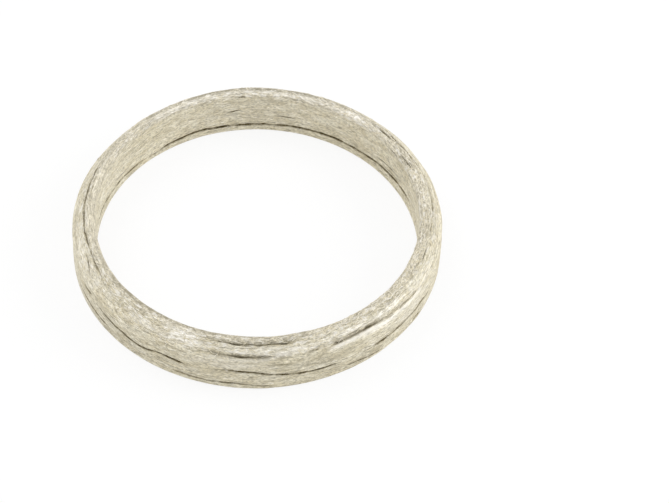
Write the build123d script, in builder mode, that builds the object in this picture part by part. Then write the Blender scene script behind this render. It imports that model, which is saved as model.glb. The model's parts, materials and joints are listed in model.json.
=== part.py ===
from build123d import *
from collections import namedtuple
from math import asin, atan2, cos, degrees, hypot, radians, sin, tan
import os

# Exhaust gasket ring, pressed in a die from one rolled sleeve of knitted steel mesh
#
# It is one piece: a short wide ring with a plain bore that slips over the pipe, a flat
# base, an upright side, a spherical seat for the flare of the next pipe, and a narrow
# crown. Pressing shuts the folds of the sleeve into creases. They run round the ring,
# are deepest half way along, and fade out at both ends. Beside the strongest ones the
# edge of the mesh stands up in a low roll.
#
# Frame: millimetres, +Z up along the bore, origin at the bore's centre in the plane of
# the base. Azimuth 0 faces -Y, and 90 degrees faces +X.

# Section of the ring
BORE_DIAMETER = 64.0    # slips over a pipe of 63.5 mm
WALL = 4.5              # radial thickness below the shoulder
SIDE_HEIGHT = 7.4       # base to shoulder
SEAT_DROP = 3.6         # crown down to shoulder
CROWN_WIDTH = 1.8       # flat top between the bore and the seat
BORE_EDGE_ROUND = 0.6   # both ends of the bore
CROWN_ROUND = 1.0       # crown to seat
SHOULDER_ROUND = 2.0    # seat to side
BASE_ROUND = 0.6        # side to base

# Section of a crease and of a roll
OPEN_SLOPE = 1.3        # width of a crease's open side for each mm of its depth
STEEP_SLOPE = 0.25      # the same for its steep side
ROLL_RADIUS = 0.7       # radius of a roll
ROLL_SPACING = 0.75     # crease to the top of the roll beside it
CUT_CLEARANCE = 0.4     # how far the cut of a crease reaches out of the surface
END_MARGIN = 3.0        # degrees that a cut or roll runs on past its faded ends

bore_radius = BORE_DIAMETER / 2
outer_radius = bore_radius + WALL
crown_radius = bore_radius + CROWN_WIDTH
height = SIDE_HEIGHT + SEAT_DROP

# The seat is part of a sphere whose centre lies on the ring's axis.
seat_centre_z = (crown_radius**2 + height**2 - outer_radius**2 - SIDE_HEIGHT**2) / (2 * SEAT_DROP)
seat_radius = hypot(outer_radius, SIDE_HEIGHT - seat_centre_z)
shoulder_angle = atan2(SIDE_HEIGHT - seat_centre_z, outer_radius)
crown_angle = atan2(height - seat_centre_z, crown_radius)


def seat_point(share):
    """Radius and height of the seat, at a share of the way from the shoulder to the crown."""
    angle = shoulder_angle + share * (crown_angle - shoulder_angle)
    return seat_radius * cos(angle), seat_centre_z + seat_radius * sin(angle)


def band_place(band, share):
    """Radius and height of a place on one band of the section, and the outward normal there."""
    if band == "side":
        return (outer_radius, share * SIDE_HEIGHT), (1.0, 0.0)
    if band == "bore":
        return (bore_radius, share * height), (-1.0, 0.0)
    radius, level = seat_point(share)
    return (radius, level), (radius / seat_radius, (level - seat_centre_z) / seat_radius)


# Azimuth and half_span are in degrees. Share is the place across the band, 0 at its lower
# edge and 1 at its upper edge. Depth, and roll, the height of the roll beside the crease,
# are in millimetres. Climb is the crease's rise towards growing azimuth, in degrees. Opens
# is +1 where the crease opens upwards from its steep side, and -1 where it opens downwards.
Fold = namedtuple("Fold", "band azimuth half_span share depth climb opens roll")

SIDE_FOLDS = [
    Fold("side", 322, 21, 0.57, 0.42, 0.3, 1, 0.0),
    Fold("side", 9, 21, 0.55, 0.40, -3.2, 1, 0.0),
    Fold("side", 351, 18, 0.16, 0.28, -0.6, 1, 0.0),
    Fold("side", 54, 16, 0.45, 0.26, -2.0, -1, 0.0),
    Fold("side", 298, 12, 0.77, 0.20, -0.8, -1, 0.0),
    Fold("side", 76, 19, 0.24, 0.30, 1.6, 1, 0.0),
    Fold("side", 98, 18, 0.62, 0.28, 1.5, 1, 0.0),
    Fold("side", 131, 19, 0.35, 0.34, -1.0, -1, 0.0),
    Fold("side", 160, 16, 0.70, 0.26, 0.8, 1, 0.0),
    Fold("side", 193, 20, 0.46, 0.38, 1.2, 1, 0.0),
    Fold("side", 226, 17, 0.22, 0.28, -1.4, -1, 0.0),
    Fold("side", 252, 18, 0.64, 0.30, -0.6, 1, 0.0),
    Fold("side", 280, 17, 0.25, 0.26, -1.0, 1, 0.0),
]

SEAT_FOLDS = [
    Fold("seat", 359, 14, 0.31, 0.34, 0.0, 1, 0.10),
    Fold("seat", 41, 22, 0.33, 0.46, -2.2, 1, 0.22),
    Fold("seat", 0, 19, 0.82, 0.32, 0.0, 1, 0.0),
    Fold("seat", 279, 28, 0.86, 0.32, -1.2, -1, 0.0),
    Fold("seat", 88, 17, 0.66, 0.24, 4.5, 1, 0.0),
    Fold("seat", 129, 18, 0.84, 0.26, 0.0, -1, 0.0),
    Fold("seat", 119, 15, 0.34, 0.26, 1.0, -1, 0.0),
    Fold("seat", 176, 17, 0.40, 0.30, -1.0, 1, 0.0),
    Fold("seat", 233, 14, 0.32, 0.26, 1.0, -1, 0.0),
]

# The creases low in the bore follow the folded lip of the sleeve.
BORE_FOLDS = [
    Fold("bore", 127, 20, 0.185, 0.34, -0.8, 1, 0.0),
    Fold("bore", 166, 21, 0.18, 0.36, -0.5, 1, 0.0),
    Fold("bore", 204, 21, 0.14, 0.38, -0.8, 1, 0.0),
    Fold("bore", 243, 18, 0.19, 0.24, 1.0, 1, 0.0),
    Fold("bore", 290, 20, 0.17, 0.28, -0.5, 1, 0.0),
    Fold("bore", 341, 22, 0.20, 0.30, 0.6, 1, 0.0),
    Fold("bore", 30, 20, 0.16, 0.28, -0.4, 1, 0.0),
    Fold("bore", 78, 17, 0.21, 0.26, 0.7, 1, 0.0),
    Fold("bore", 169, 8, 0.38, 0.18, -3.0, -1, 0.0),
    Fold("bore", 191, 8, 0.56, 0.18, 1.0, -1, 0.0),
    Fold("bore", 62, 10, 0.60, 0.20, 1.5, -1, 0.0),
    Fold("bore", 318, 11, 0.48, 0.20, -1.5, -1, 0.0),
]


class FoldPath:
    """Circle that leaves the ring's surface at a fold's two ends and lies a bite below it half way.

    A negative bite lies above the surface. The circle's plane is tilted where the surface
    slopes, and it is turned and shifted where the fold climbs.
    """

    def __init__(self, fold, place, normal, bite):
        radius, level = place
        bite_in = bite * normal[0]
        bite_down = bite * normal[1]
        fade = radius * (1 - cos(radians(fold.half_span))) - bite_in
        shift = bite_in * (2 * radius - bite_in) / (2 * fade)
        reach = radius - bite_in + shift
        rise = bite_down * reach / fade
        self.radius = hypot(reach, rise)
        self.tilt = asin(rise / self.radius)
        self.normal = normal

        azimuth = radians(fold.azimuth)
        outward = Vector(sin(azimuth), -cos(azimuth), 0)
        sideways = Vector(cos(azimuth), sin(azimuth), 0)
        up = Vector(0, 0, 1)
        drift = radius * normal[1] * tan(radians(fold.climb))
        turn = radians(fold.climb) * abs(normal[0])
        self.centre = up * (level - bite_down + rise) - outward * shift - sideways * drift
        self.to_fold = outward * cos(self.tilt) - up * sin(self.tilt)
        upright = outward * sin(self.tilt) + up * cos(self.tilt)
        self.axis = Axis(self.centre, upright * cos(turn) - sideways * sin(turn))

        end = radians(fold.half_span + END_MARGIN)
        self.half_turn = degrees(atan2(radius * sin(end), radius * cos(end) + shift))

    def start_plane(self):
        """Plane at the fold's start, with X leading from the circle's axis and Y along the axis."""
        across = self.to_fold.cross(self.axis.direction)
        middle = Plane(origin=self.centre, x_dir=self.to_fold, z_dir=across)
        return middle * Rotation(0, -self.half_turn, 0)

    def corner(self, out, upward):
        """Place in the start plane, this far out of the ring's surface and upward along it."""
        normal_x = self.normal[0] * cos(self.tilt) - self.normal[1] * sin(self.tilt)
        normal_y = self.normal[0] * sin(self.tilt) + self.normal[1] * cos(self.tilt)
        if self.normal[0] < 0:
            upward = -upward
        return self.radius + out * normal_x - upward * normal_y, out * normal_y + upward * normal_x


def add_roll(fold):
    """Low roll beside a crease, on its steep side, added to the part in progress."""
    (radius, level), normal = band_place(fold.band, fold.share)
    step = -fold.opens * ROLL_SPACING
    roll_place = (radius - step * normal[1], level + step * normal[0])
    path = FoldPath(fold, roll_place, normal, -fold.roll)
    with BuildSketch(path.start_plane()) as profile:
        with Locations(path.corner(-ROLL_RADIUS, 0)):
            Circle(ROLL_RADIUS)
    revolve(profile.sketch, axis=path.axis, revolution_arc=2 * path.half_turn)


def cut_crease(fold):
    """Crease with a steep side and an open side, cut from the part in progress."""
    place, normal = band_place(fold.band, fold.share)
    path = FoldPath(fold, place, normal, fold.depth)
    tall = fold.depth + CUT_CLEARANCE
    open_side = path.corner(tall, fold.opens * OPEN_SLOPE * tall)
    steep_side = path.corner(tall, -fold.opens * STEEP_SLOPE * tall)
    with BuildSketch(path.start_plane()) as profile:
        with BuildLine():
            Polyline(path.corner(0, 0), open_side, steep_side, close=True)
        make_face()
    revolve(profile.sketch, axis=path.axis, revolution_arc=2 * path.half_turn, mode=Mode.SUBTRACT)


# Gasket ring
with BuildPart() as gasket_ring:
    with BuildSketch(Plane.XZ) as section:
        with BuildLine():
            Polyline(
                (crown_radius, height),
                (bore_radius, height),
                (bore_radius, 0),
                (outer_radius, 0),
                (outer_radius, SIDE_HEIGHT),
            )
            ThreePointArc((outer_radius, SIDE_HEIGHT), seat_point(0.5), (crown_radius, height))
        make_face()
        columns = section.vertices().group_by(Axis.X)
        base_edge, shoulder = columns[-1].sort_by(Axis.Y)
        fillet(columns[0], min(BORE_EDGE_ROUND, CROWN_WIDTH / 3))
        fillet(columns[1], min(CROWN_ROUND, CROWN_WIDTH))
        fillet(base_edge, min(BASE_ROUND, WALL / 3))
        fillet(shoulder, SHOULDER_ROUND)
    revolve(axis=Axis.Z)
    folds = SIDE_FOLDS + SEAT_FOLDS + BORE_FOLDS
    for fold in folds:
        if fold.roll > 0:
            add_roll(fold)
    for fold in folds:
        cut_crease(fold)

gasket_ring.part.label = "gasket_ring"
os.makedirs("parts", exist_ok=True)
export_step(gasket_ring.part, "parts/gasket_ring.step")
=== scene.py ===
import json
import math
from collections import namedtuple

import bpy
import numpy as np
from mathutils import Matrix, Vector


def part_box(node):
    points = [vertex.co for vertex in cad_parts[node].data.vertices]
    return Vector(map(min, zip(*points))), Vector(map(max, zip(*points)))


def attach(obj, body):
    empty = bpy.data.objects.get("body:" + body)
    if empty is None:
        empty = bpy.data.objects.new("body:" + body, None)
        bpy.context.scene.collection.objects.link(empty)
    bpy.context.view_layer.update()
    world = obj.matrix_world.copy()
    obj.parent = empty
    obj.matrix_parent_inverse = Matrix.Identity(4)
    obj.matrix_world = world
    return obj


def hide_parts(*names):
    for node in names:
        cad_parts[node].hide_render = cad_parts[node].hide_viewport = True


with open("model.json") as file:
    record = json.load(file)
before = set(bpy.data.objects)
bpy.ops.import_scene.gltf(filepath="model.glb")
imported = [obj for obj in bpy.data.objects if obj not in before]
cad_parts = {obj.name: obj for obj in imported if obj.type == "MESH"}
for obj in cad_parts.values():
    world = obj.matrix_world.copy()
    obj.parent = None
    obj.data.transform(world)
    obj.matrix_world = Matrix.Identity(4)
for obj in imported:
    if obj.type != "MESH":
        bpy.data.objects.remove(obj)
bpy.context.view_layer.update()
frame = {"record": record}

# Pressed wire-mesh gasket ring on a pale studio floor
#
# Shapes are worked out in millimetres and written to the meshes in metres. Azimuth 0 is
# the side that faces the viewer (-Y), and 90 degrees is +X. A place on the ring is given
# by its azimuth and its distance along the section, which runs from the middle of the
# base out to the side, up the side and the seat, in over the crown and down the bore.

MM = 0.001
UV_NAME = "around_and_across"

# Section of the ring in millimetres, from the frame as far as it names the sizes
box_low, box_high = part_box("gasket_ring")
mount = {entry["name"]: entry for entry in frame["record"]["mounts"]}
OUTER_RADIUS = (box_high[0] - box_low[0]) / 2 / MM
HEIGHT = box_high[2] / MM
BORE_RADIUS = mount["bore"]["dims"]["r_mm"]
MEAN_RADIUS = (BORE_RADIUS + OUTER_RADIUS) / 2
SIDE_HEIGHT = 7.4
CROWN_WIDTH = 1.8
BASE_ROUND = 0.6
SHOULDER_ROUND = 2.2
CROWN_ROUND = 1.0
BORE_TOP_ROUND = 1.1
BORE_FOOT_ROUND = 0.7
SECTION_STEP = 0.02

# Mesh density: columns round the ring, and rows along its section
COLUMNS = 620
ROWS = 160
COLUMN_AZIMUTHS = np.arange(COLUMNS) * 360 / COLUMNS


def eased(share):
    """A share from 0 to 1, with a smooth start and end."""
    return share * share * (3 - 2 * share)


def degrees_past(middle, azimuth):
    """Degrees from a middle azimuth to another, between -180 and 180."""
    return (azimuth - middle + 180) % 360 - 180


def rounded_corner(before, corner, after, radius, points=14):
    """Points of the arc that rounds one corner of an outline."""
    into = (before - corner) / np.linalg.norm(before - corner)
    out = (after - corner) / np.linalg.norm(after - corner)
    half_angle = math.acos(np.clip(np.dot(into, out), -1, 1)) / 2
    setback = radius / math.tan(half_angle)
    middle = into + out
    centre = corner + middle / np.linalg.norm(middle) * radius / math.sin(half_angle)
    start = corner + into * setback - centre
    end = corner + out * setback - centre
    sweep = math.pi - 2 * half_angle
    turns = np.linspace(0, 1, points)[:, None] * sweep
    return centre + (np.sin(sweep - turns) * start + np.sin(turns) * end) / math.sin(sweep)


class Section:
    """The ring's section as dense points, with normals and the distances of its corners."""

    def __init__(self):
        base_middle = np.array((MEAN_RADIUS, 0.0))
        corners = [
            ("foot", OUTER_RADIUS, 0.0, BASE_ROUND),
            ("shoulder", OUTER_RADIUS, SIDE_HEIGHT, SHOULDER_ROUND),
            ("crown", BORE_RADIUS + CROWN_WIDTH, HEIGHT, CROWN_ROUND),
            ("bore_top", BORE_RADIUS, HEIGHT, BORE_TOP_ROUND),
            ("bore_foot", BORE_RADIUS, 0.0, BORE_FOOT_ROUND),
        ]
        places = [base_middle] + [np.array((r, z)) for _, r, z, _ in corners] + [base_middle]
        outline = [base_middle[None, :]]
        for index, (_, _, _, radius) in enumerate(corners, start=1):
            outline.append(rounded_corner(*places[index - 1:index + 2], radius))
        outline.append(base_middle[None, :])
        outline = np.concatenate(outline)
        lengths = np.concatenate(([0], np.cumsum(np.linalg.norm(np.diff(outline, axis=0), axis=1))))
        self.perimeter = lengths[-1]
        self.s = np.arange(0, self.perimeter, SECTION_STEP)
        self.r = np.interp(self.s, lengths, outline[:, 0])
        self.z = np.interp(self.s, lengths, outline[:, 1])
        slope_r = np.gradient(self.r)
        slope_z = np.gradient(self.z)
        size = np.hypot(slope_r, slope_z)
        self.normal_r = slope_z / size
        self.normal_z = -slope_r / size
        self.corner = {}
        for name, r, z, _ in corners:
            self.corner[name] = self.s[np.argmin(np.hypot(self.r - r, self.z - z))]

    def at(self, s, values):
        """Values of one of the section's arrays at distances along it."""
        return np.interp(s, self.s, values, period=self.perimeter)


section = Section()


def wrapped_noise(u, v, cells_u, cells_v, seed):
    """Smooth random relief between -1 and 1 that closes on itself along both directions."""
    lattice = np.random.default_rng(seed).uniform(-1, 1, (cells_u, cells_v))
    x = np.asarray(u) * cells_u
    y = np.asarray(v) * cells_v
    column = np.floor(x).astype(int)
    row = np.floor(y).astype(int)
    part_x = eased(x - column)
    part_y = eased(y - row)
    left = column % cells_u
    right = (column + 1) % cells_u
    low = row % cells_v
    high = (row + 1) % cells_v
    below = lattice[left, low] * (1 - part_x) + lattice[right, low] * part_x
    above = lattice[left, high] * (1 - part_x) + lattice[right, high] * part_x
    return below * (1 - part_y) + above * part_y


# The pressed ring isn't truly round. Sizes in millimetres, azimuths in degrees.
OUTER_OVAL = 0.18
OUTER_OVAL_AZIMUTH = 129
OUTER_LOBE = 0.07
INNER_OVAL = 0.10
INNER_OVAL_AZIMUTH = 32
INNER_LOBE = 0.10
INNER_LOBE_AZIMUTH = 66


def out_of_round(azimuth, s):
    """Radial shift of the section at an azimuth in radians, for its outer and inner parts."""
    outer = OUTER_OVAL * np.cos(2 * (azimuth - math.radians(OUTER_OVAL_AZIMUTH)))
    outer = outer + OUTER_LOBE * np.cos(3 * azimuth)
    inner = INNER_OVAL * np.cos(2 * (azimuth - math.radians(INNER_OVAL_AZIMUTH)))
    inner = inner + INNER_LOBE * np.cos(3 * (azimuth - math.radians(INNER_LOBE_AZIMUTH)))
    share = (section.at(s, section.r) - BORE_RADIUS) / (OUTER_RADIUS - BORE_RADIUS)
    return outer * share + inner * (1 - share)


def ring_points(azimuth, s, height):
    """Points in millimetres at a height over the section, and the section's outward normals."""
    angle = np.radians(azimuth)
    normal_r = section.at(s, section.normal_r)
    normal_z = section.at(s, section.normal_z)
    radius = section.at(s, section.r) + normal_r * height + out_of_round(angle, s)
    z = section.at(s, section.z) + normal_z * height
    points = np.stack((radius * np.sin(angle), -radius * np.cos(angle), np.maximum(z, 0)), axis=-1)
    normals = np.stack((normal_r * np.sin(angle), -normal_r * np.cos(angle), normal_z), axis=-1)
    return points, normals


def band_distance(band, up):
    """Distance along the section of a place this far up a band."""
    if band == "side":
        return section.corner["foot"] + up
    if band == "seat":
        return section.corner["shoulder"] + up
    return section.corner["bore_foot"] - up


# Camera at the photograph's angle. Distances are in millimetres, and the roll is in radians.
CAMERA_ELEVATION = math.radians(48.43)
CAMERA_DISTANCE = 584.0
CAMERA_RIGHT = 15.41
CAMERA_UP = -0.488
CAMERA_ROLL = -0.029
CAMERA_LENS = 157.5
SENSOR_WIDTH = 36.0
PHOTO_WIDTH = 669
PHOTO_HEIGHT = 503


class CameraPose:
    """The camera's place, and the directions to its right, up and back."""

    def __init__(self):
        up = np.array((0, math.sin(CAMERA_ELEVATION), math.cos(CAMERA_ELEVATION)))
        right = np.array((1, 0, 0))
        self.back = np.array((0, -math.cos(CAMERA_ELEVATION), math.sin(CAMERA_ELEVATION)))
        self.place = self.back * CAMERA_DISTANCE + right * CAMERA_RIGHT + up * CAMERA_UP
        self.right = right * math.cos(CAMERA_ROLL) - up * math.sin(CAMERA_ROLL)
        self.up = right * math.sin(CAMERA_ROLL) + up * math.cos(CAMERA_ROLL)


camera_pose = CameraPose()

# Search for the place on the ring that a pixel of the photograph shows. The step is in
# degrees, the stride in points of the section, reach and slack in pixels, depth in millimetres.
VIEW_AZIMUTH_STEP = 0.25
VIEW_SECTION_STRIDE = 2
VIEW_FACING = 0.02
PIXEL_REACH = 0.8
PIXEL_SLACK = 0.4
SAME_WALL_DEPTH = 3.0


class PhotoView:
    """The ring's plain surface as the camera sees it."""

    def __init__(self):
        around = np.arange(0, 360, VIEW_AZIMUTH_STEP)
        azimuth, s = np.meshgrid(around, section.s[::VIEW_SECTION_STRIDE], indexing="ij")
        points, normals = ring_points(azimuth, s, 0.0)
        towards = camera_pose.place - points
        facing = (towards * normals).sum(axis=-1) > VIEW_FACING * np.linalg.norm(towards, axis=-1)
        towards = towards[facing]
        focus = CAMERA_LENS / SENSOR_WIDTH * PHOTO_WIDTH
        self.depth = towards @ camera_pose.back
        self.x = PHOTO_WIDTH / 2 - focus * (towards @ camera_pose.right) / self.depth
        self.y = PHOTO_HEIGHT / 2 + focus * (towards @ camera_pose.up) / self.depth
        self.azimuth = azimuth[facing]
        self.s = s[facing]

    def find(self, x, y):
        """Azimuth in degrees, and distance along the section, of the place seen at a pixel."""
        away = np.hypot(self.x - x, self.y - y)
        close = away < max(PIXEL_REACH, away.min() + PIXEL_SLACK)
        front = self.depth[close].min() + SAME_WALL_DEPTH
        index = np.argmin(np.where(close & (self.depth < front), away, np.inf))
        return self.azimuth[index], self.s[index]


photo_view = PhotoView()

# Creases. Depth, the width of the open side and the height of the lip are in millimetres.
# The darkness of a crease is painted shade: how dark its bottom is painted, and past 1 it only
# widens the painted dark line. Opens is +1 where a crease opens upwards from its steep side and
# -1 where it opens downwards. Its shine is a painted highlight on its lip that also smooths its bump.
Crease = namedtuple(
    "Crease",
    "band path depth dark width opens lip shine",
    defaults=(0.9, 0.18, 1, 0.03, 0.0),
)

# How strong a crease is at a place, where it isn't 1
FAINT = 0.5
DEEP = 1.3

# Creases that the photograph shows. Each path is 3 to 20 pixels along the crease, in order
# of growing azimuth.
SEEN_CREASES = [
    # Side
    Crease("side", [
        (95, 300, FAINT), (103, 313), (113, 324, DEEP), (122, 332, DEEP), (131, 340), (140, 346, DEEP),
        (149, 350.5), (156, 352, FAINT), (160, 353.5), (167, 357, DEEP), (176, 361, DEEP), (184, 364.5),
        (190, 367, FAINT),
    ], depth=0.50, dark=1.6),
    Crease("side", [
        (207, 369.5, FAINT), (219, 370, FAINT), (232, 371), (241, 372.5), (250, 373), (258, 374, DEEP),
        (268, 374.5, DEEP), (275, 375.5, FAINT), (281, 375.5, DEEP), (291, 374.5, DEEP), (299, 374),
    ], depth=0.46, dark=1.4),
    Crease("side", [
        (287, 375), (297, 374, DEEP), (305, 373), (310, 371.5, FAINT), (318, 369.5, DEEP), (323, 368, DEEP),
        (330, 365.5), (337, 363.5), (344, 360.5, FAINT),
    ], depth=0.42, dark=1.3),
    Crease("side", [
        (166, 367), (174, 370.5), (190, 376, DEEP), (208, 381), (220, 382.5), (240, 384), (252, 385.5),
        (265, 386), (281, 385, FAINT),
    ], depth=0.30, dark=0.85),
    Crease("side", [
        (77, 275), (81, 285, FAINT), (88, 300), (95, 311), (102, 320, DEEP), (108, 327, DEEP), (113, 331),
    ], depth=0.34, dark=1.1),
    Crease("side", [(263, 365.5), (280, 365.3), (300, 363)], depth=0.14, dark=0.45, width=0.14),
    Crease("side", [
        (369, 348, FAINT), (376, 344.5, DEEP), (384, 339.5, DEEP), (393, 332, FAINT), (399, 327),
        (407, 319, DEEP), (415, 310, DEEP), (421, 301, DEEP), (426, 295), (430, 288),
    ], depth=0.42, dark=1.4),
    Crease("side", [
        (342, 367.5), (350, 364.5), (361, 360), (373, 354.5), (379, 351), (385, 347),
    ], depth=0.36, dark=1.2),
    Crease("side", [(411, 322), (415, 317), (422, 309, FAINT)], depth=0.32, dark=1.1),
    Crease("side", [(83, 280), (87, 288.5), (94, 297)], depth=0.30, dark=1.3, width=0.16),
    Crease("side", [(152, 342), (160, 346), (172, 352)], depth=0.12, dark=0.3, width=0.14),
    # Seat, front and right
    Crease("seat", [
        (200, 353, FAINT), (215, 354.5, FAINT), (226, 355.5, FAINT), (234, 357), (242, 358, DEEP),
        (252, 358.5), (262, 357.5, DEEP), (271, 356.5, DEEP), (281, 355.5),
    ], depth=0.36, dark=0.65, width=0.36, lip=0.08, shine=0.3),
    Crease("seat", [
        (272, 358.5), (284, 359), (297, 355.5), (305, 353.5), (311, 351.5, DEEP), (325, 347.5), (332, 344),
    ], depth=0.14, dark=0.35),
    Crease("seat", [
        (325, 349, FAINT), (334, 345), (344, 340.5), (351, 337), (356, 334.5, FAINT), (362, 331.5),
        (369, 327.5, DEEP), (374, 324.5), (383, 319.5, FAINT), (392, 315.5, FAINT), (400, 309, FAINT),
    ], depth=0.46, dark=0.75, width=0.5, lip=0.20, shine=1.0),
    Crease("seat", [(341, 338.5), (352, 333), (364, 326)], depth=0.24, dark=0.6, width=0.2),
    Crease("seat", [
        (384, 319, FAINT), (394, 312), (401, 306), (409, 299), (417, 290), (422, 284),
    ], depth=0.30, dark=0.55, width=0.2, lip=0.16, shine=1.0),
    Crease("seat", [
        (208, 340), (220, 342), (231, 344, DEEP), (242, 345.5, DEEP), (250, 345), (260, 346, DEEP),
        (270, 345, DEEP), (280, 344.5, DEEP), (290, 343.5), (298, 342),
    ], depth=0.36, width=0.2, lip=0.05, shine=0.3),
    Crease("seat", [(226, 347.5), (250, 349), (270, 348)], depth=0.12, dark=0.35, width=0.14),
    # Seat, left
    Crease("seat", [
        (102, 158), (98, 166, DEEP), (92, 179), (88, 190), (85, 200), (83.5, 210), (83.3, 221), (84, 230),
        (86.5, 240), (89.5, 250), (93.5, 259), (97, 268.5), (101.5, 277, FAINT),
    ], depth=0.36, dark=0.95, width=0.2),
    Crease("seat", [(99, 170), (94.5, 180), (91, 191), (88, 205)], depth=0.14, dark=0.4, width=0.15),
    Crease("seat", [(95, 262), (98.5, 271, DEEP), (103, 280)], depth=0.20, dark=0.6, width=0.15),
    Crease("seat", [
        (77, 205, FAINT), (75, 220), (75, 235), (77, 247), (79, 253),
    ], depth=0.12, dark=0.4, width=0.15),
    Crease("seat", [(86, 250), (88.5, 264), (89.5, 273), (89, 279)], depth=0.28, dark=1.1),
    # Seat, far right
    Crease("seat", [
        (433, 217, FAINT), (431, 195, FAINT), (427, 182, FAINT), (421, 171), (414, 161), (406, 151, DEEP),
        (400, 144.5), (394, 138.5, DEEP), (388, 132, DEEP), (383, 127.5), (376, 122, FAINT),
    ], depth=0.28, width=0.2),
    Crease("seat", [
        (394, 143, FAINT), (389, 137), (384, 132, DEEP), (379, 128), (372, 123, FAINT),
    ], depth=0.22, dark=0.7),
    Crease("seat", [
        (425, 250), (429, 238, FAINT), (431, 228), (432.5, 215, FAINT), (432, 200, FAINT),
    ], depth=0.20, dark=0.5),
    Crease("seat", [(419, 267), (422, 261), (426, 253, DEEP), (428.5, 243)], depth=0.22, dark=0.7),
    Crease("seat", [(433, 260), (435, 252), (437, 243)], depth=0.16, dark=0.45, width=0.15),
    Crease("seat", [(411, 169), (405, 160), (400, 153)], depth=0.24, dark=0.7),
    # Bore, along the folded lip above the base
    Crease("bore", [
        (411, 208, FAINT), (409, 202), (405, 195, DEEP), (395, 181, DEEP), (383, 169, DEEP),
        (368, 157.5, DEEP), (352, 147.5), (337, 139.5, DEEP), (322, 134, DEEP), (305, 129.3), (288, 126.3),
        (272, 125), (255, 124.7), (237, 125.5), (222, 127.5), (208, 129.7), (195, 133, DEEP),
        (182, 138.5, DEEP), (168, 145), (156, 153, FAINT),
    ], depth=0.48, dark=1.25, width=0.26, lip=0.05),
    Crease("bore", [(403, 185), (397, 176.5), (387, 165.5), (373, 154)], depth=0.20, width=0.15),
    Crease("bore", [(400, 184), (392, 174), (380, 163)], depth=0.16, dark=0.8, width=0.14),
    Crease("bore", [
        (168, 146), (156, 153.5), (140, 163), (135, 167, DEEP), (128, 173.5, DEEP), (120, 181.5, DEEP),
        (112, 192.5, DEEP), (105, 204, DEEP), (100, 216), (98, 228),
    ], depth=0.32, dark=0.8),
    # Bore, short creases higher up
    Crease("bore", [
        (243, 109.5), (238, 110.5), (233, 111.7), (224, 113.3, FAINT),
    ], depth=0.26, dark=1.3, width=0.16),
    Crease("bore", [(300, 120), (290, 117.8), (280, 116.7), (272, 116)], depth=0.24, width=0.16),
    Crease("bore", [(248, 97.5), (242, 97), (236, 97.5)], depth=0.20, dark=1.0, width=0.14),
    Crease("bore", [(399, 160), (394, 153, DEEP), (388, 147)], depth=0.16, dark=0.7, width=0.14),
    Crease("bore", [(375, 145), (360, 134), (345, 125)], depth=0.10, dark=0.3, width=0.14),
]

# Creases that the photograph doesn't show. Each path is a few places, by azimuth in degrees
# and millimetres up the band, from the base or, on the seat, from the shoulder.
HIDDEN_CREASES = [
    # Side
    Crease("side", [(82, 4.2), (98, 4.6), (114, 5.0)], depth=0.32, dark=0.8),
    Crease("side", [(114, 2.9), (131, 2.6), (148, 2.3)], depth=0.40, width=0.22, opens=-1),
    Crease("side", [(146, 5.0), (160, 5.2), (174, 5.4)], depth=0.26, dark=0.7),
    Crease("side", [(175, 3.0), (193, 3.4), (211, 3.8)], depth=0.44, dark=1.0, width=0.22),
    Crease("side", [(211, 2.0), (226, 1.6), (241, 1.3)], depth=0.30, dark=0.8, opens=-1),
    Crease("side", [(236, 4.9), (252, 4.7), (268, 4.6)], depth=0.34),
    # Seat
    Crease("seat", [(138, 1.8), (150, 1.5), (164, 1.7)], depth=0.30, dark=0.8),
    Crease("seat", [(160, 3.0), (176, 2.8), (192, 2.6)], depth=0.34, width=0.2, lip=0.05),
    Crease("seat", [(196, 1.3), (209, 1.4), (222, 1.6)], depth=0.32, dark=0.8, width=0.2, opens=-1),
    Crease("seat", [(216, 3.4), (229, 3.3), (244, 3.6)], depth=0.26, dark=0.7),
    # Bore
    Crease("bore", [(270, 1.8), (290, 1.9), (310, 1.7)], depth=0.32, dark=0.8),
    Crease("bore", [(318, 2.2), (341, 2.2), (3, 2.4)], depth=0.36, width=0.2),
    Crease("bore", [(10, 1.9), (30, 1.8), (50, 1.6)], depth=0.32, dark=0.8),
    Crease("bore", [(61, 2.2), (78, 2.3), (95, 2.5)], depth=0.30, dark=0.8),
    Crease("bore", [(53, 6.2), (62, 6.6), (72, 7.0)], depth=0.22, dark=0.7, width=0.16, opens=-1),
    Crease("bore", [(308, 5.6), (318, 5.3), (328, 4.9)], depth=0.22, dark=0.7, width=0.16, opens=-1),
]

# Patches of another tone, by the pixel that shows their middle, or by band, azimuth and
# millimetres up the band. Half span is in degrees and half width in millimetres.
Patch = namedtuple("Patch", "x y half_span half_width amount")
HiddenPatch = namedtuple("HiddenPatch", "band azimuth up half_span half_width amount")

# How far a patch changes the tone
TRACE = 0.25
SLIGHT = 0.5
CLEAR = 0.9
STRONG = 1.6
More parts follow.
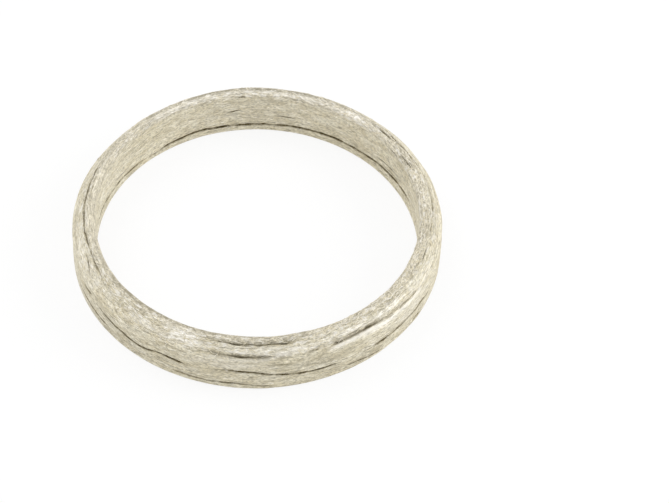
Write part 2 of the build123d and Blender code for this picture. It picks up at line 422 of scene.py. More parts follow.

# Painted highlights: where the surface is painted lighter, towards the glint shade, and made more metallic
PAINTED_HIGHLIGHT_PATCHES = [
    # Seat, left
    Patch(183, 334, 5, 0.8, STRONG),
    Patch(190, 341, 5, 0.7, STRONG),
    Patch(172, 337, 6, 0.7, CLEAR),
    Patch(146, 324, 8, 0.8, SLIGHT),
    Patch(93, 270, 6, 0.4, CLEAR),
    Patch(84, 262, 16, 1.4, SLIGHT),
    # Seat, front and right
    Patch(254, 352, 8, 0.5, CLEAR),
    Patch(282, 354, 7, 0.5, CLEAR),
    Patch(310, 346, 9, 0.5, CLEAR),
    Patch(350, 331, 8, 0.6, CLEAR),
    Patch(361, 336.5, 6, 0.3, CLEAR),
    Patch(381, 326, 6, 0.35, STRONG),
    Patch(389, 308, 9, 0.6, CLEAR),
    Patch(423, 279, 12, 1.2, SLIGHT),
    # Side
    Patch(222, 364, 12, 1.0, SLIGHT),
    Patch(83, 300, 10, 2.5, SLIGHT),
    Patch(413, 306, 12, 2.2, SLIGHT),
    # Bore and crown
    Patch(112, 175, 16, 4.5, TRACE),
    Patch(255, 110, 42, 4.5, TRACE),
    Patch(350, 116, 7, 0.8, STRONG),
    Patch(165, 114, 8, 0.7, CLEAR),
    Patch(250, 92, 50, 0.6, SLIGHT),
    Patch(200, 101, 12, 0.5, CLEAR),
    Patch(302, 98, 12, 0.5, CLEAR),
    # Out of view
    HiddenPatch("seat", 205, 2.4, 8, 0.7, CLEAR),
    HiddenPatch("side", 186, 5.6, 7, 0.6, CLEAR),
    HiddenPatch("side", 120, 4.4, 8, 0.6, CLEAR),
]

# Painted shade: where the surface is painted darker and speckled, mostly along the crown's edges and the
# creases
PAINTED_SHADE_PATCHES = [
    # Crown's inner edge, front
    Patch(150, 309, 34, 0.5, STRONG),
    Patch(262, 337, 20, 0.5, CLEAR),
    Patch(385, 297, 24, 1.2, SLIGHT),
    # Crown's outer edge, back
    Patch(250, 89, 56, 0.45, STRONG),
    Patch(109, 151, 12, 0.45, CLEAR),
    # Seat, along the front creases
    Patch(252, 357, 13, 0.6, STRONG),
    Patch(268, 356.5, 3, 0.5, STRONG),
    Patch(258, 343, 17, 0.8, CLEAR),
    Patch(356, 334, 12, 0.6, STRONG),
    # Seat and crown, right
    Patch(388, 303, 8, 0.6, CLEAR),
    Patch(413, 271, 12, 1.0, CLEAR),
    Patch(427, 228, 14, 0.7, SLIGHT),
    Patch(433, 214, 16, 1.2, SLIGHT),
    Patch(406, 156, 12, 0.7, SLIGHT),
    # Seat, left
    Patch(91, 247, 14, 0.6, SLIGHT),
    # Side
    Patch(107, 318, 7, 1.0, SLIGHT),
    Patch(362, 358, 8, 0.5, CLEAR),
    Patch(98, 318, 16, 0.5, CLEAR),
    Patch(329, 360.5, 5, 0.5, CLEAR),
    Patch(270, 366, 24, 2.6, TRACE),
]

# Where the crown is as smooth as the bore
CALM_PATCHES = [
    Patch(94, 205, 32, 1.7, CLEAR),
]


def crease_places(crease, seen):
    """Azimuth, distance along the section and strength at each place of a crease's path."""
    places = []
    for first, second, *strength in crease.path:
        if seen:
            azimuth, s = photo_view.find(first, second)
        else:
            azimuth, s = first, band_distance(crease.band, second)
        places.append((azimuth, s, *(strength or [1.0])))
    return np.array(places)


def patch_place(patch):
    """Azimuth and distance along the section of a patch's middle."""
    if isinstance(patch, Patch):
        return photo_view.find(patch.x, patch.y)
    return patch.azimuth, band_distance(patch.band, patch.up)


# Shape of a crease across its run. Lengths are in millimetres, and the step of the layer on
# its steep side is a share of the crease's depth.
STEEP_WIDTH = 0.06
OPEN_POWER = 1.5
# Width of the painted shade along a crease's bottom
PAINTED_CREASE_SHADE_WIDTH = 0.10
LIP_OFFSET = 0.5
LIP_WIDTH = 0.35
LAYER_REACH = 1.6
LAYER_STEP = 0.12

# Run of a crease. Its ends fade over these degrees, or over a share of its half span where
# that is less. The steps between its places are smoothed over a number of columns.
CREASE_FADE = 5.0
FADE_SHARE = 0.7
PATH_SMOOTHING = 2
SMOOTHING_REACH = 3
MEAN_STRENGTH = 0.80
FIRST_CREASE_SEED = 40

# Random swings along a crease: their size, how many cells they have round the ring, and how
# far their seed is from the crease's own
Swing = namedtuple("Swing", "size cells seed_step")
SLOW_STRENGTH = Swing(0.26, 130, 500)
QUICK_STRENGTH = Swing(0.20, 310, 700)
SLOW_WANDER = Swing(0.06, 150, 0)
QUICK_WANDER = Swing(0.045, 290, 900)


def swing_along(swing, turn, seed):
    """A crease's random swing at places round the ring, given as shares of a turn."""
    return swing.size * wrapped_noise(turn, 0 * turn, swing.cells, 1, seed + swing.seed_step)


def smoothed(values, columns):
    """Values round the ring, smoothed over a number of columns."""
    reach = SMOOTHING_REACH * columns
    offsets = np.arange(-reach, reach + 1)
    weights = np.exp(-0.5 * (offsets / columns) ** 2)
    weights /= weights.sum()
    padded = np.concatenate((values[-reach:], values, values[:reach]))
    return np.convolve(padded, weights, mode="valid")


class CreaseLine:
    """A crease's distance along the section, and its strength, at any azimuth."""

    def __init__(self, crease, places, seed):
        turn = COLUMN_AZIMUTHS / 360
        path_azimuth = np.degrees(np.unwrap(np.radians(places[:, 0])))
        order = np.argsort(path_azimuth)
        path_azimuth = path_azimuth[order]
        middle = (path_azimuth[0] + path_azimuth[-1]) / 2
        half_span = (path_azimuth[-1] - path_azimuth[0]) / 2
        relative = degrees_past(middle, COLUMN_AZIMUTHS)
        path_s = np.interp(relative, path_azimuth - middle, places[order, 1])
        strength = np.interp(relative, path_azimuth - middle, places[order, 2])
        fade = min(CREASE_FADE, half_span * FADE_SHARE)
        inside = np.clip((half_span - np.abs(relative)) / fade, 0, 1)
        uneven = MEAN_STRENGTH + swing_along(SLOW_STRENGTH, turn, seed)
        uneven += swing_along(QUICK_STRENGTH, turn, seed)
        self.crease = crease
        self.column_s = smoothed(path_s, PATH_SMOOTHING)
        self.column_s += swing_along(SLOW_WANDER, turn, seed)
        self.column_s += swing_along(QUICK_WANDER, turn, seed)
        self.column_strength = eased(inside) * strength * uneven
        self.open_sign = -crease.opens if crease.band == "bore" else crease.opens

    def at(self, azimuth, s):
        """Height, painted shade and painted lip highlight that the crease gives to places on the surface.
        """
        strength = np.interp(azimuth, COLUMN_AZIMUTHS, self.column_strength, period=360)
        centre = np.interp(azimuth, COLUMN_AZIMUTHS, self.column_s, period=360)
        away = (s - centre) * self.open_sign
        crease = self.crease
        groove = np.where(
            away > 0,
            np.exp(-np.abs(away / crease.width) ** OPEN_POWER),
            np.exp(-(away / STEEP_WIDTH) ** 2),
        )
        lip = np.exp(-((away + LIP_OFFSET) / LIP_WIDTH) ** 2)
        layer = np.where(away < 0, np.exp(np.minimum(away, 0) / LAYER_REACH), 0) * (1 - groove)
        height = strength * (crease.lip * lip + crease.depth * (LAYER_STEP * layer - groove))
        # Painted shade along the crease's bottom
        dark = np.minimum(crease.dark * strength * np.exp(-(away / PAINTED_CREASE_SHADE_WIDTH) ** 2), 1)
        # Painted highlight on the lip
        shine = crease.shine * np.sqrt(strength) * lip
        return height, dark, shine


# Lumps of the pressed mesh: their height in millimetres, how many cells of noise they have
# round the ring and along its section, and their seed
Lumps = namedtuple("Lumps", "height around across seed")
LUMPS = [
    Lumps(0.060, 42, 9, 1),
    Lumps(0.060, 30, 24, 2),
    Lumps(0.042, 80, 52, 3),
    Lumps(0.020, 240, 76, 4),
]

# How strong the lumps are at places along the section, each given by a corner and by how many
# millimetres past it the place is. They are strongest on the crown, and the base has none.
LUMP_STRENGTHS = [
    ("foot", -0.5, 0.0),
    ("foot", 0.8, 0.6),
    ("shoulder", 0.0, 0.8),
    ("crown", -1.0, 1.1),
    ("bore_top", 0.0, 1.0),
    ("bore_top", 2.0, 0.45),
    ("bore_foot", -0.8, 0.4),
    ("bore_foot", 0.5, 0.0),
]


class Surface:
    """The pressed ring's surface, as a place and a normal for each azimuth and distance."""

    def __init__(self):
        creases = [(crease, True) for crease in SEEN_CREASES]
        creases += [(crease, False) for crease in HIDDEN_CREASES]
        self.lines = []
        for seed, (crease, seen) in enumerate(creases, start=FIRST_CREASE_SEED):
            self.lines.append(CreaseLine(crease, crease_places(crease, seen), seed))
        places = [section.corner[name] + past for name, past, _ in LUMP_STRENGTHS]
        strengths = [strength for _, _, strength in LUMP_STRENGTHS]
        self.lump_strength = np.interp(section.s, places, strengths)

    def relief(self, azimuth, s):
        """Height over the plain section in millimetres, and painted crease shade and painted lip highlight
        from 0 to 1.
        """
        u = azimuth / 360
        v = s / section.perimeter
        height = np.zeros(np.shape(s))
        for lumps in LUMPS:
            height += lumps.height * wrapped_noise(u, v, lumps.around, lumps.across, lumps.seed)
        height *= section.at(s, self.lump_strength)
        dark = np.zeros(np.shape(s))
        shine = np.zeros(np.shape(s))
        for line in self.lines:
            line_height, line_painted_crease_shade, line_shine = line.at(azimuth, s)
            height += line_height
            dark = np.maximum(dark, line_painted_crease_shade)
            shine = np.maximum(shine, line_shine)
        return height, dark, shine

    def tone(self, patches, azimuth, s):
        """How much some of the patches change the tone of places on the surface."""
        amount = np.zeros(np.shape(s))
        for patch in patches:
            middle_azimuth, middle_s = patch_place(patch)
            across = (s - middle_s) / patch.half_width
            along = degrees_past(middle_azimuth, azimuth) / patch.half_span
            amount = np.maximum(amount, patch.amount * np.exp(-across ** 2 - along ** 2))
        return amount

    def place(self, azimuth, s, lift=0.0):
        """Points in millimetres, outward normals, painted crease shade and painted lip highlight."""
        height, dark, shine = self.relief(azimuth, s)
        points, normals = ring_points(azimuth, s, height + lift)
        return points, normals, dark, shine


# Rows of the mesh are sparser on the base and crowd together at creases. Lengths are in
# millimetres.
BASE_MARGIN = 0.4
BASE_DENSITY = 0.35
CREASE_DENSITY = 3.0
CREASE_REACH = 0.25


def crowded_rows(surface):
    """Distances of the mesh's rows in each column, crowded together where creases run."""
    base_end = section.corner["foot"] - BASE_MARGIN
    base_start = section.corner["bore_foot"] + BASE_MARGIN
    on_base = (section.s < base_end) | (section.s > base_start)
    density = np.tile(np.where(on_base, BASE_DENSITY, 1.0), (COLUMNS, 1))
    for line in surface.lines:
        away = (section.s[None, :] - line.column_s[:, None]) / CREASE_REACH
        density += CREASE_DENSITY * line.column_strength[:, None] * np.exp(-away ** 2)
    total = np.cumsum(density, axis=1)
    total = (total - total[:, :1]) / (total[:, -1:] - total[:, :1])
    targets = np.arange(ROWS) / ROWS
    return np.array([np.interp(targets, column, section.s) for column in total])


def quad_corners(values, turn=0):
    """Values at the four corners of the ring's faces, with a turn added past the last row."""
    next_row = np.roll(values, -1, axis=1)
    next_row[:, -1] += turn
    return values, np.roll(values, -1, axis=0), np.roll(next_row, -1, axis=0), next_row


def build_ring(surface):
    """The ring as one closed mesh object, with UVs and attributes for its painted crease shade, painted lip
    highlights, the painted shade and highlights of its patches, and its calm patches.
    """
    s = crowded_rows(surface)
    azimuth = np.tile(COLUMN_AZIMUTHS[:, None], (1, ROWS))
    points, _, dark, shine = surface.place(azimuth, s)
    attributes = {
        "crevice": dark,
        "shine": shine,
        "pale": surface.tone(PAINTED_HIGHLIGHT_PATCHES, azimuth, s),
        "dull": surface.tone(PAINTED_SHADE_PATCHES, azimuth, s),
        "calm": surface.tone(CALM_PATCHES, azimuth, s),
    }
    index = np.arange(COLUMNS * ROWS).reshape(COLUMNS, ROWS)
    quads = np.stack(quad_corners(index), axis=-1).reshape(-1, 4)
    u = azimuth / 360
    next_u = u + 1 / COLUMNS
    v = quad_corners(s / section.perimeter, 1)
    loops = np.stack((u, v[0], next_u, v[1], next_u, v[2], u, v[3]), axis=-1)
    return mesh_object("pressed_ring", points, quads, loops, attributes)


def new_object(name, data):
    """Object in the scene that shows a mesh, a light or a camera."""
    item = bpy.data.objects.new(name, data)
    bpy.context.collection.objects.link(item)
    return item


def mesh_object(name, points, quads, loops, attributes):
    """Smooth mesh object from points in millimetres, with UVs and point attributes."""
    mesh = bpy.data.meshes.new(name)
    mesh.from_pydata((points.reshape(-1, 3) * MM).tolist(), [], quads.tolist())
    mesh.polygons.foreach_set("use_smooth", np.ones(len(quads), dtype=bool))
    uv_map = mesh.uv_layers.new(name=UV_NAME)
    uv_map.data.foreach_set("uv", loops.ravel())
    for attribute_name, values in attributes.items():
        attribute = mesh.attributes.new(attribute_name, "FLOAT", "POINT")
        attribute.data.foreach_set("value", values.ravel().astype(np.float32))
    return new_object(name, mesh)


# Loose wires of the mesh: short flat strands that rise out of the surface and dip back in. Low
# and high are millimetres up from the shoulder, over seat and crown. Stray is how far the
# heading varies from the ring's direction, and curl is its bend for each millimetre, both in
# degrees.
Strands = namedtuple("Strands", "azimuth half_span low high count stray curl")

SEAT_STRANDS = [
    Strands(48, 26, 3.6, 6.2, 150, 35, 70),
    Strands(90, 22, 3.4, 6.2, 80, 25, 50),
    Strands(122, 12, 4.4, 6.6, 60, 18, 30),
    Strands(320, 32, 0.8, 4.4, 170, 32, 40),
    Strands(275, 22, 0.8, 4.2, 90, 20, 25),
    Strands(15, 22, 1.4, 5.6, 90, 18, 30),
    Strands(190, 55, 0.8, 6.2, 240, 25, 40),
    Strands(145, 12, 5.4, 7.2, 40, 20, 40),
]

# Sizes of a strand in millimetres, and the ranges of its random values. Rise and width are
# shares.
STRAND_STEPS = 6
STRAND_WIDTH = 0.14
STRAND_FLATNESS = 2
STRAND_RISE = 0.05
STRAND_DIP = 0.06
STEP_RANGE = (0.10, 0.32)
RISE_RANGE = (0.3, 1)
WIDTH_RANGE = (0.7, 1.2)
TONE_RANGE = (0, 0.6)
BEND_CHANGE = 0.6
ARCH_POWER = 0.6
TUBE_SIDES = 4
STRAND_SEED = 700


def strand_paths(groups, rng):
    """Azimuth and distance along the section of every strand's points."""
    counts = [group.count for group in groups]
    total = sum(counts)

    def each(name):
        return np.repeat([getattr(group, name) for group in groups], counts)[:, None]

    step = rng.uniform(*STEP_RANGE, (total, 1))
    heading = np.radians(each("stray") * rng.normal(0, 1, (total, 1)))
    heading = heading + np.pi * rng.integers(0, 2, (total, 1))
    bend = rng.normal(0, 1, (total, 1)) + rng.normal(0, BEND_CHANGE, (total, STRAND_STEPS))
    heading = heading + np.cumsum(np.radians(each("curl") * bend) * step, axis=1)
    moves = step * np.stack((np.cos(heading), np.sin(heading)))
    along, across = np.pad(np.cumsum(moves, axis=2), ((0, 0), (0, 0), (1, 0)))
    start = each("azimuth") + each("half_span") * rng.uniform(-1, 1, (total, 1))
    azimuth = (start + np.degrees(along / MEAN_RADIUS)) % 360
    low = section.corner["shoulder"] + each("low")
    high = section.corner["shoulder"] + each("high")
    s = rng.uniform(0, 1, (total, 1)) * (high - low) + low + across
    return azimuth, s


def strew_strands(surface, groups, seed):
    """Strands as closed flat tubes in one mesh object."""
    rng = np.random.default_rng(seed)
    azimuth, s = strand_paths(groups, rng)
    total = len(azimuth)
    arch = np.sin(np.pi * np.linspace(0, 1, STRAND_STEPS + 1)) ** ARCH_POWER
    rise = arch * STRAND_RISE * rng.uniform(*RISE_RANGE, (total, 1))
    centre, normal, dark, _ = surface.place(azimuth, s, rise - (1 - arch) * STRAND_DIP)
    side = np.cross(normal, np.gradient(centre, axis=1))
    side /= np.linalg.norm(side, axis=-1, keepdims=True)
    half_width = STRAND_WIDTH / 2 * rng.uniform(*WIDTH_RANGE, (total, 1, 1))
    side = side * half_width
    top = normal * half_width / STRAND_FLATNESS
    points = np.stack((centre + side, centre + top, centre - side, centre - top), axis=2)
    quads = tube_quads(total, STRAND_STEPS + 1)
    tone = rng.uniform(*TONE_RANGE, total)
    attributes = {
        # Painted shade of the creases that a wire lies in
        "crevice": np.repeat(dark, TUBE_SIDES),
        "tone": np.repeat(tone, (STRAND_STEPS + 1) * TUBE_SIDES),
    }
    u = np.repeat(azimuth / 360, TUBE_SIDES)
    v = np.repeat(s / section.perimeter, TUBE_SIDES)
    loops = np.stack((u[quads], v[quads]), axis=-1)
    return mesh_object("loose_wires", points, quads, loops, attributes)


def tube_quads(tubes, rings):
    """Faces of closed tubes whose points are ordered by tube, ring and side."""
    index = np.arange(tubes * rings * TUBE_SIDES).reshape(tubes, rings, TUBE_SIDES)
    turned = np.roll(index, -1, axis=2)
    walls = np.stack((index[:, :-1], turned[:, :-1], turned[:, 1:], index[:, 1:]), axis=-1)
    return np.concatenate((walls.reshape(-1, 4), index[:, 0, ::-1], index[:, -1]))


class Graph:
    """Short calls for building a node tree."""

    def __init__(self, tree):
        self.tree = tree
        tree.nodes.clear()

    def add(self, kind, settings=None, **inputs):
        """New node with these settings and inputs, where _ stands for a space in a name."""
        node = self.tree.nodes.new(kind)
        for name, value in (settings or {}).items():
            setattr(node, name, value)
        for name, value in inputs.items():
            self.put(node.inputs[name.replace("_", " ")], value)
        return node

    def put(self, socket, value):
        """Link an output to an input, or set the input to a plain value."""
        if isinstance(value, bpy.types.NodeSocket):
            self.tree.links.new(value, socket)
        else:
            socket.default_value = value

    def math(self, operation, first, second=0.0, third=0.0):
        """Result of a math node."""
        node = self.add("ShaderNodeMath", {"operation": operation})
        for socket, value in zip(node.inputs, (first, second, third)):
            self.put(socket, value)
        return node.outputs[0]

    def times(self, first, second):
        """Product of two values."""
        return self.math("MULTIPLY", first, second)

    def scaled(self, value, gain, base):
        """A value times a gain, on top of a base."""
        return self.math("MULTIPLY_ADD", value, gain, base)

    def rest(self, value):
        """What a value leaves of 1."""
        return self.math("SUBTRACT", 1.0, value)

    def centred(self, value):
        """A value from 0 to 1, moved to lie evenly about 0."""
        return self.math("SUBTRACT", value, 0.5)

    def mix(self, factor, first, second):
        """Colour between two colours."""
        node = self.add("ShaderNodeMix", {"data_type": "RGBA"}, Factor=factor, A=first, B=second)
        return node.outputs["Result"]

    def attribute(self, name):
        """Value of a mesh's point attribute."""
        return self.add("ShaderNodeAttribute", {"attribute_name": name}).outputs["Fac"]

    def ramp(self, value, low, high):
        """0 below low, 1 above high, smooth between them."""
        smooth = {"interpolation_type": "SMOOTHSTEP"}
        node = self.add("ShaderNodeMapRange", smooth, Value=value, From_Min=low, From_Max=high)
        return node.outputs["Result"]

    def line(self, value, level, width):
        """1 where the value is at a level, and 0 where it is further than a width from it."""
        away = self.math("ABSOLUTE", self.math("SUBTRACT", value, level))
        return self.rest(self.ramp(away, 0.0, width))

    def in_picture(self):
        """1 for what shows in the picture, directly, reflected or through glass, else 0."""
        path = self.add("ShaderNodeLightPath").outputs
        seen = self.math("MAXIMUM", path["Is Camera Ray"], path["Is Glossy Ray"])
        return self.math("MAXIMUM", seen, path["Is Transmission Ray"])


def new_material(name):
    """Material without nodes, and the graph that builds them."""
    material = bpy.data.materials.new(name)
    material.use_nodes = True
    return material, Graph(material.node_tree)


# Grains of the pressed mesh: length round the ring and width in millimetres, and the noise's
# detail and roughness
Grain = namedtuple("Grain", "length width detail roughness", defaults=(2.0, 0.5))
GRAINS = {
    "warp": Grain(6.0, 3.0),
    "drift": Grain(7.0, 2.0),
    "streaks": Grain(2.6, 0.27, 2.0, 0.6),
    "fine": Grain(0.7, 0.19, 1.0),
    "specks": Grain(0.45, 0.32, 2.0, 0.6),
    "blotches": Grain(3.6, 1.2, 2.0, 0.6),
    "mottle": Grain(1.5, 0.75, 3.0, 0.6),
    "flecks": Grain(1.4, 0.36, 1.0),
    "threads": Grain(2.0, 0.24, 1.0),
    "layers": Grain(18.0, 1.0, 1.0),
    "seam breaks": Grain(9.0, 2.0),
}
NOISE_SPREAD = (0.28, 0.72)
STITCHES = 96
WARP = 0.45
SEAM_LEVEL = 0.5
SEAM_WIDTH = 0.07
SEAM_BREAKS = (0.35, 0.6)

# Edges of the seat's and the crown's rough bands, in millimetres past corners of the section
SEAT_EDGE = -0.5
CROWN_EDGE = (-0.8, 0.4)
BORE_EDGE = (0.2, 1.6)

# Brightness of the wires. A pair is a gain and a base.
STREAK_SHADE = (0.28, 0.86)
FINE_SHADE = 0.20
SPECK_SHADE = (0.08, 0.18)
BLOTCH_SHADE = 0.14

# Ranges of the grains over which a mark grows to its full strength
GAPS = (0.10, 0.34)
THREAD_GAPS = (0.08, 0.3)
GLINT_STREAKS = (0.70, 0.95)
GLINT_FINE = (0.45, 0.85)
FLECKS = (0.68, 0.88)
MOTTLE = (0.25, 0.75)

# How far a mark takes the surface to its own shade, or makes it metallic. A pair is a gain
# and a base.
CROWN_SHARE = 0.8
GAP_SHARE = 0.35
SEAM_SHARE = 0.6
GLINT_SHARE = 0.7
THREAD_GAP_SHARE = 0.3
FLECK_SHARE = 0.7
# Painted shade, broken up by the mottle and the specks
PAINTED_SHADE_BY_MOTTLE = (-0.45, 1.05)
PAINTED_SHADE_BY_SPECKS = -0.5
# Painted highlights, broken up by the flecks and the streaks
PAINTED_HIGHLIGHT_BY_GRAIN = (0.55, 0.05)
# Painted highlight on crease lips
PAINTED_LIP_HIGHLIGHT_SHARE = 0.8
# Painted shade in the creases, broken up by the specks
PAINTED_CREVICE_SHADE_BY_SPECKS = (0.5, 0.75)
METALLIC_BY_PAINTED_HIGHLIGHT = (0.45, 0.35)

# Heights of the wires and of the step at a seam, in millimetres
STREAK_HEIGHT = 0.10
FINE_HEIGHT = 0.08
SPECK_HEIGHT = 0.09
SEAM_STEP = 0.10
SEAM_STEP_RANGE = (0.44, 0.56)

# Shades of the mesh and of the loose wires
SHADES = {
    "warm": (0.72, 0.65, 0.47, 1),
    "cool": (0.76, 0.715, 0.575, 1),
    "crown": (0.69, 0.64, 0.515, 1),
    # Painted shade
    "dull": (0.36, 0.325, 0.24, 1),
    "gap": (0.22, 0.19, 0.13, 1),
    # Glints, and painted highlights
    "glint": (0.98, 0.95, 0.88, 1),
    # Painted shade in the creases
    "crease": (0.105, 0.078, 0.025, 1),
}


class MeshCoordinates:
    """Places on the ring for its textures: round it in millimetres, and along its section."""

    def __init__(self, graph):
        self.graph = graph
        uv = graph.add("ShaderNodeUVMap", {"uv_map": UV_NAME}).outputs["UV"]
        separate = graph.add("ShaderNodeSeparateXYZ", Vector=uv).outputs
        self.turn = separate["X"]
        angle = graph.times(self.turn, 2 * math.pi)
        self.s = graph.times(separate["Y"], section.perimeter)
        self.x = graph.times(graph.math("COSINE", angle), MEAN_RADIUS)
        self.y = graph.times(graph.math("SINE", angle), MEAN_RADIUS)

    def noise(self, along, name):
        """Noise from 0 to 1, with one of the grains, at distances along the section."""
        graph = self.graph
        grain = GRAINS[name]
        stretch = grain.length / grain.width
        x = graph.math("DIVIDE", self.x, stretch)
        y = graph.math("DIVIDE", self.y, stretch)
        node = graph.add(
            "ShaderNodeTexNoise",
            Vector=graph.add("ShaderNodeCombineXYZ", X=x, Y=y, Z=along).outputs[0],
            Scale=1 / grain.width,
            Detail=grain.detail,
            Roughness=grain.roughness,
        )
        return graph.ramp(node.outputs["Fac"], *NOISE_SPREAD)

    def past(self, corner, start, end):
        """0 up to a start and 1 from an end, both in millimetres past a corner."""
        corner_s = section.corner[corner]
        return self.graph.ramp(self.s, corner_s + start, corner_s + end)


class MeshGrain:
    """Grains, seams and bands of the pressed mesh, each from 0 to 1 over the ring."""

    def __init__(self, graph):
        place = MeshCoordinates(graph)
        zigzag = graph.math("PINGPONG", graph.times(place.turn, STITCHES), 0.5)
        warp = graph.times(graph.times(zigzag, place.noise(place.s, "warp")), WARP)
        warped = graph.math("ADD", place.s, warp)
        warped = graph.scaled(place.noise(place.s, "drift"), WARP, warped)

        self.streaks = place.noise(warped, "streaks")
        self.fine = place.noise(warped, "fine")
        self.specks = place.noise(place.s, "specks")
        self.blotches = place.noise(place.s, "blotches")
        self.mottle = place.noise(warped, "mottle")
        self.flecks = place.noise(warped, "flecks")
        self.threads = place.noise(warped, "threads")
        self.layers = place.noise(warped, "layers")
        breaks = graph.ramp(place.noise(place.s, "seam breaks"), *SEAM_BREAKS)
        self.seam = graph.times(graph.line(self.layers, SEAM_LEVEL, SEAM_WIDTH), breaks)

        seat_start = section.corner["shoulder"] + SEAT_EDGE
        up_seat = graph.ramp(place.s, seat_start, section.corner["crown"] + SEAT_EDGE)
        off_bore = graph.rest(place.past("bore_top", *BORE_EDGE))
        not_calm = graph.rest(graph.attribute("calm"))
        self.rough_band = graph.times(graph.times(up_seat, off_bore), not_calm)
        self.crown_band = graph.times(place.past("crown", *CROWN_EDGE), off_bore)


def mesh_brightness(graph, grain):
    """Brightness of the wires, where 1 leaves their shade as it is."""
    shade = graph.scaled(grain.streaks, *STREAK_SHADE)
    shade = graph.scaled(graph.centred(grain.fine), FINE_SHADE, shade)
    speck_shade = graph.scaled(grain.rough_band, *SPECK_SHADE)
    shade = graph.math("ADD", graph.times(graph.centred(grain.specks), speck_shade), shade)
    return graph.scaled(graph.centred(grain.blotches), BLOTCH_SHADE, shade)


def mesh_colour(graph, grain, pale, shine):
    """Colour of the pressed mesh: the wires' shades, and the marks over them, painted shade and painted
    highlights among them.
    """
    colour = graph.mix(grain.blotches, SHADES["warm"], SHADES["cool"])
    colour = graph.mix(graph.times(grain.crown_band, CROWN_SHARE), colour, SHADES["crown"])
    brightness = mesh_brightness(graph, grain)
    lit = graph.add("ShaderNodeVectorMath", {"operation": "SCALE"}, Vector=colour, Scale=brightness)

    gaps = graph.rest(graph.ramp(grain.fine, *GAPS))
    glint_streaks = graph.ramp(grain.streaks, *GLINT_STREAKS)
    glints = graph.times(glint_streaks, graph.ramp(grain.fine, *GLINT_FINE))
    thread_gaps = graph.rest(graph.ramp(grain.threads, *THREAD_GAPS))
    flecks = graph.ramp(grain.flecks, *FLECKS)
    # Breakup of the painted shade on its patches by the mottle and the specks
    dull = graph.scaled(graph.ramp(grain.mottle, *MOTTLE), *PAINTED_SHADE_BY_MOTTLE)
    dull = graph.scaled(grain.specks, PAINTED_SHADE_BY_SPECKS, dull)
    # Breakup of the painted shade in the creases by the specks
    crevice = graph.scaled(grain.specks, *PAINTED_CREVICE_SHADE_BY_SPECKS)
    marks = [
        (graph.times(gaps, GAP_SHARE), "gap"),
        (graph.times(grain.seam, SEAM_SHARE), "gap"),
        (graph.times(glints, GLINT_SHARE), "glint"),
        (graph.times(thread_gaps, graph.times(grain.rough_band, THREAD_GAP_SHARE)), "gap"),
        (graph.times(flecks, graph.times(grain.rough_band, FLECK_SHARE)), "glint"),
        # Painted shade on its patches
        (graph.times(graph.attribute("dull"), dull), "dull"),
        # Painted highlights on the pale patches
        (pale, "glint"),
        # Painted highlight on the lips of creases
        (shine, "glint"),
        # Painted shade in the creases
        (graph.times(graph.attribute("crevice"), crevice), "crease"),
    ]
    colour = lit.outputs[0]
    for share, shade in marks:
        colour = graph.mix(share, colour, SHADES[shade])
    return colour


def mesh_height(graph, grain, shine):
    """Height of the wires over the surface, in millimetres."""
    height = graph.times(grain.streaks, STREAK_HEIGHT)
    height = graph.scaled(grain.fine, FINE_HEIGHT, height)
    height = graph.scaled(graph.times(grain.specks, grain.rough_band), SPECK_HEIGHT, height)
    height = graph.scaled(graph.ramp(grain.layers, *SEAM_STEP_RANGE), SEAM_STEP, height)
    return graph.times(height, graph.rest(shine))


def pressed_mesh_material():
    """Dry pressed steel wire mesh: flattened wires that run round the ring, in thin layers."""
    material, graph = new_material("pressed_mesh")
    grain = MeshGrain(graph)
    # Painted highlights on the pale patches, broken up by the flecks and the streaks
    pale = graph.scaled(graph.math("ADD", grain.flecks, grain.streaks), *PAINTED_HIGHLIGHT_BY_GRAIN)
    pale = graph.math("MINIMUM", graph.times(graph.attribute("pale"), pale), 1.0)
    # Painted highlight on crease lips, which also flattens their bump
    shine = graph.times(graph.attribute("shine"), PAINTED_LIP_HIGHLIGHT_SHARE)
    height = mesh_height(graph, grain, shine)
    bump = graph.add("ShaderNodeBump", Height=height, Strength=1.0, Distance=MM)
    shader = graph.add(
        "ShaderNodeBsdfPrincipled",
        Base_Color=mesh_colour(graph, grain, pale, shine),
        Metallic=graph.scaled(pale, *METALLIC_BY_PAINTED_HIGHLIGHT),
        Roughness=0.6,
        Specular_IOR_Level=0.2,
        Normal=bump.outputs[0],
    )
    graph.add("ShaderNodeOutputMaterial", Surface=shader.outputs[0])
    return material


def loose_wire_material():
    """Wires that lie on the surface: clean steel, each of its own tone."""
    material, graph = new_material("loose_wire")
    colour = graph.mix(graph.attribute("tone"), SHADES["warm"], SHADES["glint"])
    shader = graph.add(
        "ShaderNodeBsdfPrincipled",
        # Painted shade where a wire lies in a crease
        Base_Color=graph.mix(graph.attribute("crevice"), colour, SHADES["crease"]),
        Metallic=0.2,
        Roughness=0.5,
    )
    graph.add("ShaderNodeOutputMaterial", Surface=shader.outputs[0])
    return material


def place_camera():
    """Camera that looks down at the ring, which lies left of the picture's middle."""
    lens = bpy.data.cameras.new("camera")
    lens.lens = CAMERA_LENS
    lens.sensor_width = SENSOR_WIDTH
    camera = new_object("camera", lens)
    turned = Matrix((camera_pose.right, camera_pose.up, camera_pose.back)).transposed().to_4x4()
    camera.matrix_world = Matrix.Translation(camera_pose.place * MM) @ turned
    bpy.context.scene.camera = camera


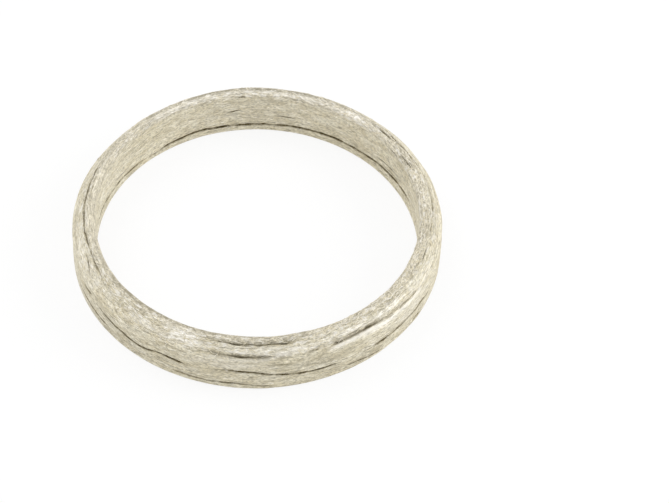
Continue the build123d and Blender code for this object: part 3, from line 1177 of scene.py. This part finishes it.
# Studio, in metres and watts. The world's light is what it gives where it isn't in the
# picture, and the glow is how far the floor looks white where it is.
Light = namedtuple("Light", "name place size power")
LIGHTS = [
    Light("key", (0.56, 0.06, 0.38), 0.35, 1.7),
    Light("fill", (-0.38, 0.2, 0.56), 0.5, 1.4),
]
LIGHT_TARGET = (0, 0, 0.005)
WORLD_LIGHT = 0.78
WHITE = (1, 1, 1, 1)
FLOOR_COLOUR = (0.92, 0.92, 0.92, 1)
FLOOR_GLOW = 0.86
FLOOR_REACH = 3.0


def hang_light(light):
    """Soft square light, aimed at the ring."""
    data = bpy.data.lights.new(light.name, "AREA")
    data.shape = "SQUARE"
    data.size = light.size
    data.energy = light.power
    item = new_object(light.name, data)
    item.location = light.place
    aim = Vector(LIGHT_TARGET) - Vector(light.place)
    item.rotation_euler = aim.to_track_quat("-Z", "Y").to_euler()


def light_studio():
    """Two soft lights in a pale world that shows as white."""
    for light in LIGHTS:
        hang_light(light)
    world = bpy.data.worlds.new("studio")
    bpy.context.scene.world = world
    world.use_nodes = True
    graph = Graph(world.node_tree)
    strength = graph.scaled(graph.in_picture(), 1 - WORLD_LIGHT, WORLD_LIGHT)
    shader = graph.add("ShaderNodeBackground", Color=WHITE, Strength=strength)
    graph.add("ShaderNodeOutputWorld", Surface=shader.outputs[0])


def lay_floor():
    """Plain pale floor, which looks almost white and keeps the ring's shadow."""
    corners = [(-1, -1), (1, -1), (1, 1), (-1, 1)]
    mesh = bpy.data.meshes.new("floor")
    mesh.from_pydata([(x * FLOOR_REACH, y * FLOOR_REACH, 0) for x, y in corners], [], [(0, 1, 2, 3)])
    floor = new_object("floor", mesh)
    material, graph = new_material("floor")
    mixed = graph.add("ShaderNodeMixShader", Fac=graph.times(graph.in_picture(), FLOOR_GLOW))
    graph.put(mixed.inputs[1], graph.add("ShaderNodeBsdfDiffuse", Color=FLOOR_COLOUR).outputs[0])
    graph.put(mixed.inputs[2], graph.add("ShaderNodeEmission", Color=WHITE, Strength=1.0).outputs[0])
    graph.add("ShaderNodeOutputMaterial", Surface=mixed.outputs[0])
    mesh.materials.append(material)


bpy.context.scene.view_settings.view_transform = "Standard"
surface = Surface()
ring = build_ring(surface)
ring.data.materials.append(pressed_mesh_material())
wires = strew_strands(surface, SEAT_STRANDS, STRAND_SEED)
wires.data.materials.append(loose_wire_material())
for piece in (ring, wires):
    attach(piece, "root")
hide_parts("gasket_ring")
lay_floor()
light_studio()
place_camera()
